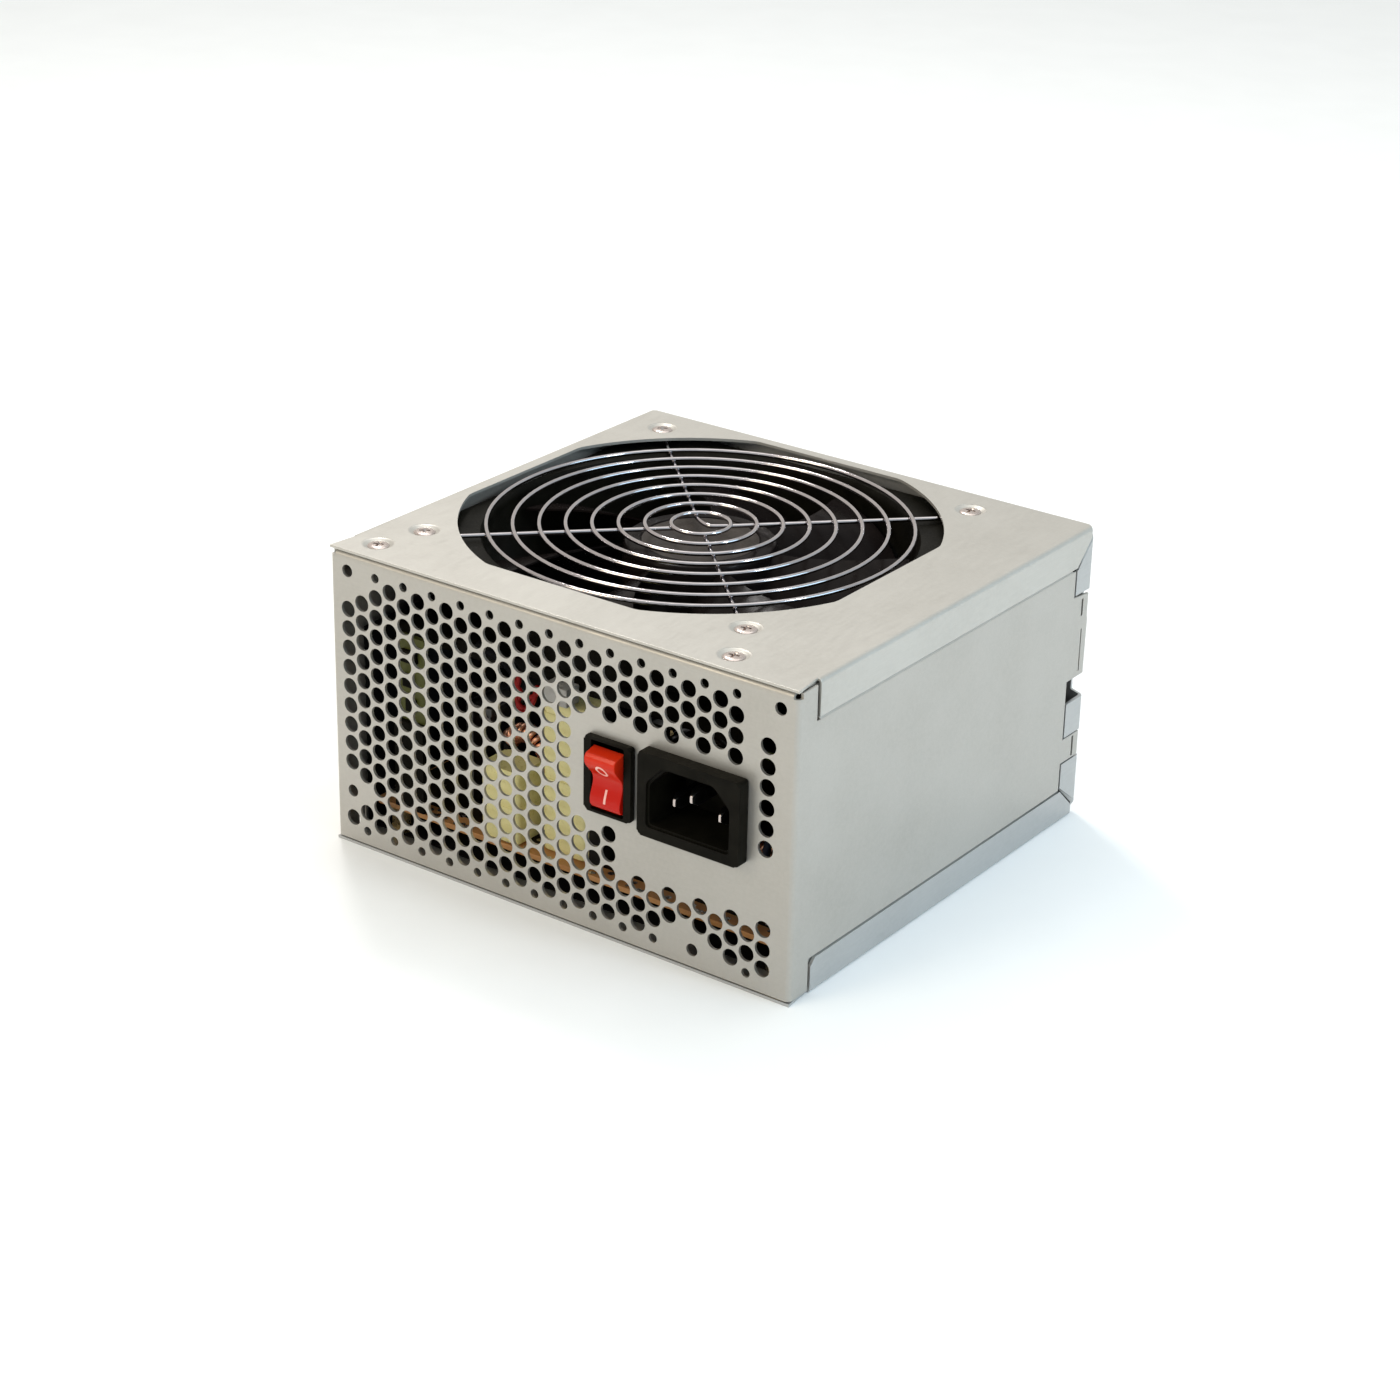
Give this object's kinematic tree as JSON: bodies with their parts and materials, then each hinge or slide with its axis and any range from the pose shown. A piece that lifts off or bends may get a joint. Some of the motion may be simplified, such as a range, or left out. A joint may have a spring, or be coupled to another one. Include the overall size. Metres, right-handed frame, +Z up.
{
  "type": "power supply unit",
  "caption": "Boxed steel desktop computer power supply with a wire-guarded top fan, a perforated rear panel, a mains inlet and a rocker switch.",
  "frame": {"origin": "centre of the case's bottom face, midway between the side walls and between the vent panel and the back panel", "axes": "+X to the right seen from the vent panel, along the case's width; +Y from the vent panel towards the cable outlet; +Z up, out of the fan guard"},
  "size_m": [0.15, 0.1479, 0.086],
  "materials": {
    "zinc_panel": "satin zinc-plated sheet",
    "zinc_top": "satin zinc-plated sheet",
    "zinc_base": "satin zinc-plated sheet",
    "chrome_wire": "polished plated wire",
    "bright_steel": "bright nickel plate",
    "brass": "plain brass",
    "aluminium": "mill finish",
    "black_plastic": "moulded, fine texture",
    "blade_plastic": "smooth moulded, translucent brown-black",
    "black_rubber": "matt moulded nylon",
    "red_plastic": "smooth glossy",
    "white_plastic": "moulded nylon",
    "board_brown": "paper laminate",
    "board_green": "glass laminate",
    "ferrite": "sintered ferrite",
    "copper_wire": "enamelled copper winding",
    "yellow_tape": "polyester tape",
    "yellow_case": "moulded case",
    "dark_sleeve": "shrink sleeve",
    "green_sleeve": "shrink sleeve",
    "fuse_glass": "clear tube with metal caps",
    "brown_insulation": "wire insulation",
    "blue_insulation": "wire insulation",
    "green_insulation": "wire insulation, green with yellow",
    "red_insulation": "wire insulation"
  },
  "bodies": {
    "case": {"body_shell": "zinc_panel", "top_cover": "zinc_top", "base_tray": "zinc_base", "fan_guard": "chrome_wire", "cover_screw_left": "bright_steel", "cover_screw_right": "bright_steel", "fan_screw_1": "bright_steel", "fan_screw_2": "bright_steel", "fan_screw_3": "bright_steel", "fan_screw_4": "bright_steel", "board_screw_1": "bright_steel", "board_screw_2": "bright_steel", "board_screw_3": "bright_steel", "board_screw_4": "bright_steel", "inlet_pin_line": "bright_steel", "inlet_pin_neutral": "bright_steel", "inlet_pin_earth": "bright_steel", "standoff_1": "brass", "standoff_2": "brass", "standoff_3": "brass", "standoff_4": "brass", "fan_bearing": "brass", "switch_terminal_line": "brass", "switch_terminal_load": "brass", "primary_heatsink": "aluminium", "secondary_heatsink": "aluminium", "fan_frame": "black_plastic", "inlet_housing": "black_plastic", "switch_housing": "black_plastic", "bridge_rectifier": "black_plastic", "output_rectifier": "black_plastic", "switching_transistor_1": "black_plastic", "switching_transistor_2": "black_plastic", "cable_grommet": "black_rubber", "fan_connector": "white_plastic", "circuit_board": "board_brown", "fan_motor_board": "board_green", "control_board": "board_green", "main_transformer_core": "ferrite", "output_choke": "copper_wire", "line_filter_choke": "copper_wire", "fan_stator": "copper_wire", "main_transformer_winding": "yellow_tape", "standby_transformer": "yellow_tape", "filter_capacitor": "yellow_case", "bulk_capacitor_1": "dark_sleeve", "bulk_capacitor_2": "dark_sleeve", "output_capacitor_1": "green_sleeve", "output_capacitor_2": "green_sleeve", "output_capacitor_3": "green_sleeve", "mains_fuse": "fuse_glass", "lead_inlet_to_switch": "brown_insulation", "lead_switch_to_board": "brown_insulation", "lead_neutral": "blue_insulation", "lead_earth": "green_insulation", "fan_lead": "red_insulation"},
    "fan_rotor_body": {"fan_rotor": "blade_plastic", "fan_shaft": "bright_steel", "fan_magnet_ring": "ferrite"},
    "rocker_body": {"switch_rocker": "red_plastic"}
  },
  "joints": [
    {"name": "fan_spin", "type": "hinge", "parent": "case", "child": "fan_rotor_body", "pos_m": [-0.01, 0.006, 0.07], "axis": [0, 0, 1], "continuous": true},
    {"name": "rocker_tilt", "type": "hinge", "parent": "case", "child": "rocker_body", "pos_m": [0.019, -0.0685, 0.0467], "axis": [1, 0, 0], "range_deg": [-22, 0]}
  ]
}
